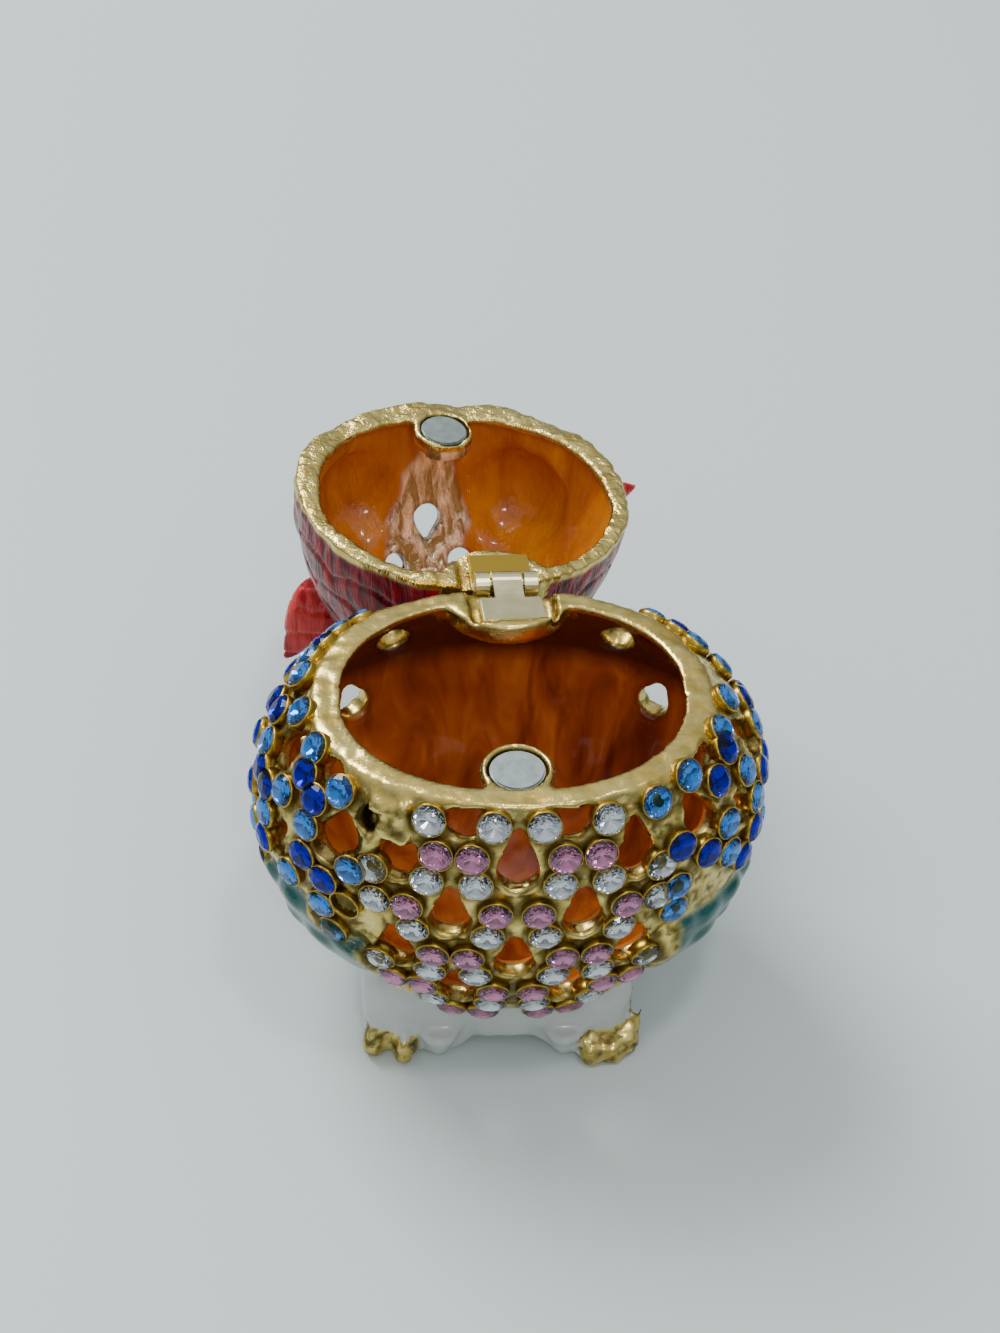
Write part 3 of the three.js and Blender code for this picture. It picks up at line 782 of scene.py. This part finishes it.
# The back of a chaton is silvered, which throws the light back through the glass.
foil, tree = new_material("silver_foil_backing")
surface(tree, add_node(tree, "BsdfPrincipled", {
    "Base Color": linear("#D8DCE0"), "Metallic": 1.0, "Roughness": 0.06,
}))
clear_glass = glass("clear_lead_glass", "#F6F8FA")
for kind, colour_name, material in (
    ("clear", "clear", clear_glass), ("pink", "pink", glass("pink_lead_glass", "#E48AB4")),
    ("light", "light_blue", glass("capri_blue_glass", "#3C94F4", 1.45)),
    ("dark", "dark_blue", glass("sapphire_glass", "#0406B0", 1.3)),
):
    places = [(a, u) for k, a, u in all_stones if k == kind]
    draw = random.Random(len(places))
    solids = []
    for around, up in places:
        way = facing(around, up)
        frame_at = seat(body_point(around, up, lift(around)) + way * stone_rise, way)
        solids.append(chaton(frame_at, draw.uniform(0, 45)))
    nodes = [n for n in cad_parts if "_stone_" in n and n.startswith(kind)]
    finished(
        joined(solids), f"{colour_name}_stones", "base", nodes, [material, foil],
        smooth=False,
    )

# The head is the lid: a second casting, hollow, with the two eyes bulging as domes, a beak, brows and
# tufted ears. Outside it is maroon enamel over engraved feathers, inside amber, and its edge is gilt.
# It is drawn shut above the body and then swung open about the pin.
head_wide, head_deep, head_high, head_wall, head_bottom = 17.9, 15.2, 24.0, 1.8, 36.5
eye_radius = 8.2
shut_turn = Matrix.Rotation(math.radians(-176.5), 4, pin_axis)
swing = Matrix.Translation(pin_place) @ shut_turn @ Matrix.Translation(-pin_place)


def head_normal(around, up):
    return outward(around, up, head_wide, head_deep, head_high)


def head_point(around, up, proud=0.0):
    a, u = math.radians(around), math.radians(up)
    reach = max(math.cos(u), 0)
    point = Vector((
        head_wide * reach * rounded(math.sin(a)),
        -head_deep * reach * rounded(math.cos(a)),
        head_high * math.sin(u) + head_bottom,
    ))
    return point + head_normal(around, up) * proud


def eye_centre(side):
    return Vector((side * 8.2, -7.2, head_bottom + 8.8))


def eye_way(side):
    return Vector((side * 0.26, -0.95, 0.12)).normalized()


def head_form(proud):
    """The plain head and the two domes of its eyes, stood out or drawn in."""
    domes = [ball((eye_radius + proud,) * 3, eye_centre(side), around=40, rows=28) for side in (-1, 1)]
    return [shaped_ball(head_point, proud, 64, 36), *domes]


forehead_windows = [(0, 38, 2.9, 4.6), (20, 52, 2.7, 3.8), (-20, 52, 2.3, 3.2)]
forehead_seats = [(13, 42), (-13, 42), (9, 29), (-9, 29), (9, 62), (-9, 62), (0, 72)]


# Ear tufts: (length, width, thickness, base, tip). The last one stands low at one ear only.
tufts = [
    (15.5, 8.4, 4.2, (10, -3.6, 50.4), (17.2, -2.4, 64)),
    (10.5, 5.6, 3.4, (8, 1, 52), (13.6, 5.4, 60)),
    (6.5, 3.6, 2.5, (15.2, -1.5, 40.6), (20.8, -2, 38.6)),
]


def on_side(side, place):
    return Vector((side * place[0], place[1], place[2]))


def tuft(length, width, thickness_and_rim_shadow, start, end):
    """A leaf-shaped tuft of feathers from its base to its pointed tip."""
    bm = bmesh.new()
    bmesh.ops.create_uvsphere(bm, u_segments=20, v_segments=16, radius=1)
    for v in bm.verts:
        along = (v.co.z + 1) / 2
        girth = math.sqrt(max(1 - v.co.z ** 2, 1e-6))
        swell = math.sin(math.pi * along ** 0.7) ** 1.15 if 0 < along < 1 else 0
        x, y = v.co.x / girth * width / 2 * swell, v.co.y / girth * thickness_and_rim_shadow / 2 * swell
        v.co = Vector((x, y, along * length))
    way = (end - start).normalized()
    turn = Vector((0, 0, 1)).rotation_difference(way).to_matrix().to_4x4()
    moved(bm, Matrix.Translation(end - way * length) @ turn)
    bmesh.ops.remove_doubles(bm, verts=bm.verts, dist=1e-4)
    return bm


def head_solids():
    outer = head_form(0)
    for side in (-1, 1):
        for length, width, thickness_and_rim_shadow, base, tip in tufts if side > 0 else tufts[:2]:
            outer.append(tuft(length, width, thickness_and_rim_shadow, on_side(side, base), on_side(side, tip)))
        slope = Matrix.Rotation(math.radians(-side * 34), 4, "Y")
        brow_turn = Matrix.Rotation(math.radians(side * 22), 4, "Z") @ slope
        outer.append(ball((7.6, 1.7, 1.5), (side * 7.4, -10.6, head_bottom + 16.6), brow_turn))
        iris_at = eye_centre(side) + eye_way(side) * 6.7
        eye_turn = eye_way(side).to_track_quat("Z", "Y").to_matrix().to_4x4()
        bead = [(4.7 + 0.6 * math.cos(i * math.pi / 5), 0.6 * math.sin(i * math.pi / 5)) for i in range(10)]
        outer.append(turned(bead, Matrix.Translation(iris_at) @ eye_turn, 40))
        outer.append(ball((4.1, 4.1, 1.3), iris_at + eye_way(side) * 0.6, eye_turn, 32, 18))
    beak = disc(2.6, -3.75, 3.75, Matrix.Rotation(math.radians(118), 4, "X"), 20, 0.25)
    bmesh.ops.translate(beak, verts=beak.verts, vec=(0, -head_deep - 0.2, head_bottom + 8.35))
    outer.append(beak)
    window_tools = joined([
        teardrop(seat(head_point(a, u), head_normal(a, u)), wide, high, cut_low, cut_high)
        for a, u, wide, high in forehead_windows
    ])
    solids = []
    for form in outer:
        solids.append(combined(form, [*head_form(-head_wall), slab(0, head_bottom), window_tools.copy()]))
    window_tools.free()
    hinge_boss = Matrix.Translation((0, 14.6, 0)) @ Matrix.Diagonal((5.9, 4.9, 1, 1))
    band_hollow = shaped_ball(head_point, -2.4, 64, 36)
    bmesh.ops.translate(band_hollow, verts=band_hollow.verts, vec=(0, 0.7, 0))
    band_cutters = [band_hollow, slab(0, head_bottom), slab(head_bottom + 1.1, 90)]
    boss = at_magnet(3.3, head_bottom, head_bottom + 2.5)
    solids.append(combined(boss, [shaped_ball(head_point, -0.3)], "INTERSECT"))
    solids.append(combined(shaped_ball(head_point, 0.1, 64, 36), band_cutters))
    boss = disc(1, head_bottom, head_bottom + 3, hinge_boss, 48)
    solids.append(combined(boss, [shaped_ball(head_point, -0.3)], "INTERSECT"))
    return solids


lid_bm = recessed(fused(head_solids(), first_grain, 2), [
    at_magnet(magnet_pocket, head_bottom - 1, head_bottom + magnet_thick + pocket_slack),
    *hinge_room(-4, 1.85, -4, 1.85),
], lid_grain)
lining_at = 0.55
lid_zones = {"amber": [], "bare": [], "tuft": [], "iris": [], "pupil": [], "edge": []}
for v in lid_bm.verts:
    p = v.co
    side = 1 if p.x > 0 else -1
    wave = noise.noise(p * 0.3)
    # Amber lines the head and its eyes, but not the two bosses; a bare strip is left at the front.
    deep = ((p.x / head_wide) ** 2 + (p.y / head_deep) ** 2 + ((p.z - head_bottom) / head_high) ** 2) ** 0.5
    in_eye = (p - eye_centre(side)).length
    shell = min(deep / (1 - head_wall * lining_at / 17), in_eye / (eye_radius - head_wall * lining_at))
    inside = eased(1.005, 0.985, shell) * eased(head_bottom + 0.5, head_bottom + 0.9, p.z + wave * 0.3)
    on_boss = abs(p.x) < 5.6 and p.y > 9.5 and p.z < head_bottom + 3.3
    on_boss = on_boss or (p.xy - Vector((0, -magnet_forward))).length < 3.7 and p.z < head_bottom + 1
    if on_boss:
        inside = 0
    flare = eased(5, 14, p.z - head_bottom) * 2.6
    strip = eased(2.6 + wave, 1.4 + wave, abs(p.x) - flare) * eased(2, -2, p.y)
    lid_zones["amber"].append(inside * (1 - strip))
    lid_zones["bare"].append(inside * strip)
    # The tufts are a lighter red towards their tips.
    tip = 0
    for *_, base, end in tufts:
        start, stop = on_side(side, base), on_side(side, end)
        line = stop - start
        t = min(max((p - start).dot(line) / line.length_squared, 0), 1)
        away = (p - start - line * t).length
        tip = max(tip, eased(5.2, 4.2, away) * eased(0.0, 0.35, t))
    lid_zones["tuft"].append(tip * (1 - inside) * eased(1.02, 1.05, deep))
    # Eyes, in degrees off the way that they look: a black pupil, an amber iris and a gilt ring.
    way = (p - eye_centre(side)).normalized()
    off = math.degrees(way.angle(eye_way(side))) if in_eye > eye_radius - 0.5 else 90
    lid_zones["iris"].append(eased(30, 28.5, off) * (1 - inside))
    lid_zones["pupil"].append(eased(15, 13.5, off) * (1 - inside))
    # Gilding shows on the edge, the rings, the beak and the bosses.
    rim_high = head_bottom + 1.0 + 1.0 * eased(0, -9, p.y) * (1 if deep < 0.97 else 0.3)
    gilded = [eased(rim_high + 0.3, rim_high - 0.2, p.z + wave * 0.4)]
    gilded.append(eased(28, 29.5, off) * eased(39, 37.5, off))
    if p.y < -14.6 and abs(p.x) < 3:
        gilded.append(eased(3.0, 2.4, Vector((p.x, 0, p.z - head_bottom - 8)).length))
    lid_zones["edge"].append(max(*gilded, 1 if on_boss else 0) * (1 - inside))


def scallop(point):
    """How deep the engraved edge of a laid feather runs at a place on the head."""
    if point.y < -9 and point.z < head_bottom + 18:
        return 0
    turn = math.degrees(math.atan2(point.x, -point.y))
    row = (point.z - head_bottom) / 3.6
    cell = turn / 26 + (math.floor(row) % 2) / 2
    off = (cell - math.floor(cell) - 0.5) * 2
    edge_at = math.floor(row) + 0.5 * off * off
    return 0.3 * max(1 - abs(row - edge_at) / 0.16, 0)


# The lining is smoothed, the edge made wavy, and the feathers engraved.
lined = [v for v, share in zip(lid_bm.verts, lid_zones["amber"]) if share > 0.9 and v.co.z > head_bottom + 2]
for _ in range(24):
    bmesh.ops.smooth_vert(lid_bm, verts=lined, factor=0.5, use_axis_x=True, use_axis_y=True, use_axis_z=True)
lid_bm.normal_update()
for v, share in zip(lid_bm.verts, lid_zones["amber"]):
    wavy = noise.noise(v.co * 0.22) * 0.5 + noise.noise(v.co * 0.8) * 0.22 - 0.15
    near_edge = eased(head_bottom + 4, head_bottom + 1, v.co.z) * (1 - share)
    engraved = scallop(v.co) * (1 - share) * eased(head_bottom + 3, head_bottom + 4, v.co.z)
    fine = noise.noise(v.co * 0.45) * 0.1 - 0.05 - engraved
    v.co += v.normal * (fine + (wavy - fine) * near_edge * (0 if abs(v.co.x) < 6.5 and v.co.y > 9 else 1))
    v.co.z = max(v.co.z, head_bottom)
lid_casting = finished(moved(lid_bm, swing), "owl_head_casting", "lid", ["lid_casting"])
for name, values in lid_zones.items():
    marked(lid_casting.data, name, values)

# Maroon enamel over fine engraved barbs 1.1 mm apart, darker where it lies thick in the lines; the
# strip left bare inside shows the etched metal.
lid_finish, tree = new_material("maroon_enamel_on_engraved_casting")
place = add_node(tree, "TexCoord", {}, "Object")
amber, bare, tufted, iris, pupil, edge = (
    add_node(tree, "Attribute", {}, "Fac", attribute_name=name) for name in lid_zones
)
barb_place = add_node(tree, "Mapping", {"Vector": place, "Scale": (1, 1, 0.16)})
barbs = add_node(tree, "TexNoise", {
    "Vector": barb_place, "Scale": per(1.1), "Detail": 3, "Roughness": 0.6, "Distortion": 0.6,
})
barbs = add_node(tree, "MapRange", {"Value": barbs, "From Min": 0.38, "From Max": 0.66})
gold_tone, gold_roughness, _ = gilt(tree, place, 0.0)
flow = amber_flow(tree, place, (0.7, 0.7, 0.35), 1.0, [(0.3, "#AC560A"), (0.7, "#E09018")])
etched = add_node(tree, "MapRange", {"Value": barbs, "From Min": 0.1, "From Max": 0.8})
red, light_red, etched_metal = (
    add_node(tree, "Mix", {0: share, 6: linear(deep), 7: linear(bright)}, **in_colour)
    for share, deep, bright in (
        (barbs, "#48040E", "#A21426"), (barbs, "#9C1420", "#D8443E"), (etched, "#94845A", "#F6F2E2"),
    )
)
colour = red
for share, tone in (
    (tufted, light_red), (iris, linear("#D98A1E")), (pupil, linear("#0A0808")), (amber, flow),
    (edge, gold_tone), (bare, etched_metal),
):
    colour = add_node(tree, "Mix", {0: share, 6: colour, 7: tone}, **in_colour)
gold_share = add_node(tree, "Math", {0: bare, 1: edge}, operation="MAXIMUM")
metal = add_node(tree, "Math", {0: bare, 1: 0.55}, operation="MULTIPLY")
shine = add_node(tree, "Math", {0: amber, 1: 0.4}, operation="MULTIPLY")
ridges = add_node(tree, "Math", {0: barbs, 1: amber}, operation="SUBTRACT")
surface(tree, add_node(tree, "BsdfPrincipled", {
    "Base Color": colour, "Metallic": add_node(tree, "Math", {0: metal, 1: edge}, operation="MAXIMUM"),
    "Roughness": add_node(tree, "Mix", {0: gold_share, 2: 0.25, 3: gold_roughness}),
    "Coat Weight": add_node(tree, "Math", {0: shine, 1: 0.1}, operation="ADD"), "Coat Roughness": 0.08,
    "Specular IOR Level": 0.2,
    "Normal": add_node(tree, "Bump", {"Height": ridges, "Strength": 0.5, "Distance": 0.0002}),
}))
lid_casting.data.materials.append(lid_finish)


# Clear stones round the openings of the forehead, in cups like those of the breast. They are on the
# side that the photo hides.
forehead_frames = [seat(head_point(a, u), head_normal(a, u)) for a, u in forehead_seats]
crown = joined([chaton(f @ Matrix.Translation((0, 0, stone_rise)), 10) for f in forehead_frames])
finished(moved(crown, swing), "forehead_stones", "lid", (), [clear_glass, foil], smooth=False)
crown_cups = joined([turned(cup, f) for f in forehead_frames])
finished(moved(crown_cups, swing), "forehead_cup_rims", "lid", (), [cup_finish])

# The catch: two nickel-plated magnet discs, scuffed by each other into duller spots about 1 mm
# across, and glued into their pockets.
magnet_finish, tree = new_material("scuffed_nickel_plating")
place = add_node(tree, "TexCoord", {}, "Object")
scuff = add_node(tree, "TexNoise", {"Vector": place, "Scale": per(0.9), "Detail": 5, "Roughness": 0.7})
surface(tree, add_node(tree, "BsdfPrincipled", {
    "Base Color": add_node(tree, "Mix", {0: scuff, 6: linear("#8C9896"), 7: linear("#B4BEBC")}, **in_colour),
    "Metallic": 1.0, "Roughness": add_node(tree, "Mix", {0: scuff, 2: 0.25, 3: 0.55}),
}))
magnet_sunk, magnet_bevel = 0.25, 0.16
for name, body, top in (
    ("body_magnet", "base", rim_top - magnet_sunk),
    ("lid_magnet", "lid", head_bottom + magnet_sunk + magnet_thick),
):
    bm = at_magnet(magnet_radius, top - magnet_thick, top, 48)
    rims = [e for e in bm.edges if e.calc_face_angle(0) > 1 and abs(e.verts[0].co.z - e.verts[1].co.z) < 0.01]
    bmesh.ops.bevel(bm, geom=rims, offset=magnet_bevel, segments=2, affect="EDGES")
    if body == "lid":
        moved(bm, swing)
    finished(bm, f"{name}_disc", body, [name], [magnet_finish], smooth=False)

# The hinge: two leaves of thin gold-washed steel, each rolled round the pin. The body's leaf makes the
# middle knuckle and the lid's leaf the two outer ones. The wash is uneven, in patches 1.5 mm across.
leaf_wide, leaf_thick, leaf_end, leaf_bevel = 6.2, 0.6, -2.8, 0.14
knuckle_radius, strip_half_thick = 1.02, 0.27
hinge_finish, tree = new_material("gold_washed_steel")
place = add_node(tree, "TexCoord", {}, "Object")
grain = add_node(tree, "TexNoise", {"Vector": place, "Scale": per(1.5), "Detail": 3})
surface(tree, add_node(tree, "BsdfPrincipled", {
    "Base Color": add_node(tree, "Mix", {0: grain, 6: linear("#CFC28E"), 7: linear("#EBE2BC")}, **in_colour),
    "Metallic": 1.0, "Roughness": add_node(tree, "Mix", {0: grain, 2: 0.2, 3: 0.34}),
}))


def knuckle(plate_high, low_x, high_x):
    """A strip that runs back from the leaf and curls round the pin, between two places along it."""
    middle = [(-3.3, plate_high + 0.3), (-2.4, plate_high + 0.31), (-1.6, plate_high + 0.42)]
    start = 125 if plate_high < 0.8 else 100
    for i in range(15):
        angle = math.radians(start - i * 17)
        middle.append((knuckle_radius * math.cos(angle), knuckle_radius * math.sin(angle)))
    edges = []
    for i, (y, z) in enumerate(middle):
        (y0, z0), (y1, z1) = middle[max(i - 1, 0)], middle[min(i + 1, len(middle) - 1)]
        out = Vector((z0 - z1, y1 - y0)).normalized() * strip_half_thick
        edges.append(((y + out.x, z + out.y), (y - out.x, z - out.y)))
    outline = [e[0] for e in edges] + [e[1] for e in reversed(edges)]
    bm = bmesh.new()
    rows = [[bm.verts.new((x, y, z)) for y, z in outline] for x in (low_x, high_x)]
    count = len(outline)
    for i in range(count):
        bm.faces.new((rows[0][i], rows[0][(i + 1) % count], rows[1][(i + 1) % count], rows[1][i]))
    for row in rows:
        for i in range(len(edges) - 1):
            bm.faces.new((row[i], row[i + 1], row[count - 2 - i], row[count - 1 - i]))
    bmesh.ops.recalc_face_normals(bm, faces=bm.faces)
    return bm


def hinge_leaf(plate_high, reach, knuckles):
    plate = block((-leaf_wide / 2, -reach, plate_high), (leaf_wide / 2, leaf_end, plate_high + leaf_thick))
    bmesh.ops.bevel(plate, geom=plate.edges[:], offset=leaf_bevel, segments=2, affect="EDGES")
    return moved(joined([plate] + [knuckle(plate_high, low, high) for low, high in knuckles]), pin_frame)


finished(
    hinge_leaf(0.1, 6.3, [(-1.45, 1.45)]), "hinge_leaf_of_body", "base", ["body_hinge_leaf"],
    [hinge_finish], smooth=False,
)
lid_leaf_bm = moved(hinge_leaf(0.95, 5.6, [(-3.1, -1.75), (1.75, 3.1)]), swing)
lid_leaf = finished(
    lid_leaf_bm, "hinge_leaf_of_lid", "lid", ["lid_hinge_leaf"], [hinge_finish, cup_finish],
    smooth=False,
)

# The lid's leaf is gilded with the head as far as its knuckles.
knuckle_from = -1.75
for face in lid_leaf.data.polygons:
    if (pin_frame.inverted() @ swing.inverted() @ (face.center * 1000)).y < knuckle_from:
        face.material_index = 1

# The pin is a plain steel rod through the three knuckles.
pin_radius, pin_half_long = 0.55, 3.15
pin_bm = disc(pin_radius, -pin_half_long, pin_half_long, pin_frame @ Matrix.Rotation(math.pi / 2, 4, "Y"))
finished(pin_bm, "pin_of_hinge", "base", ["hinge_pin"], [hinge_finish], smooth=False)

# The table is plain pale grey and dull, with soft daylight from the back left.
floor_bm = bmesh.new()
bmesh.ops.create_grid(floor_bm, x_segments=1, y_segments=1, size=1.5)
floor = object_of(floor_bm, "table")
table_finish, tree = new_material("pale_grey_table_top")
surface(tree, add_node(tree, "BsdfPrincipled", {"Base Color": linear("#CBD5D4"), "Roughness": 0.5}))
floor.data.materials.append(table_finish)
for name, spot, energy, size in (
    ("window", (-0.42, 0.5, 0.75), 9, 0.45), ("ceiling", (0.15, -0.1, 0.9), 1.4, 0.1),
    ("room", (0.1, -0.55, 0.6), 0.7, 0.07),
):
    light = bpy.data.lights.new(name, "AREA")
    light.energy, light.size = energy, size
    lamp = bpy.data.objects.new(name, light)
    lamp.matrix_world = Matrix.Translation(spot) @ Vector(spot).to_track_quat("Z", "Y").to_matrix().to_4x4()
    bpy.context.scene.collection.objects.link(lamp)
world = bpy.data.worlds.new("room")
world.use_nodes = True
tree = world.node_tree
sky = add_node(tree, "TexCoord", {}, "Generated")
height = add_node(tree, "SeparateXYZ", {"Vector": sky}, "Z")
share = add_node(tree, "MapRange", {"Value": height, "From Min": 0.0, "From Max": 0.8})
daylight = add_node(tree, "Mix", {0: share, 6: linear("#646D70"), 7: linear("#E6EBEC")}, **in_colour)
tree.links.new(daylight, tree.nodes["Background"].inputs["Color"])
bpy.context.scene.world = world


def corners(box):
    return [[float(x) for x in corner] for corner in box]
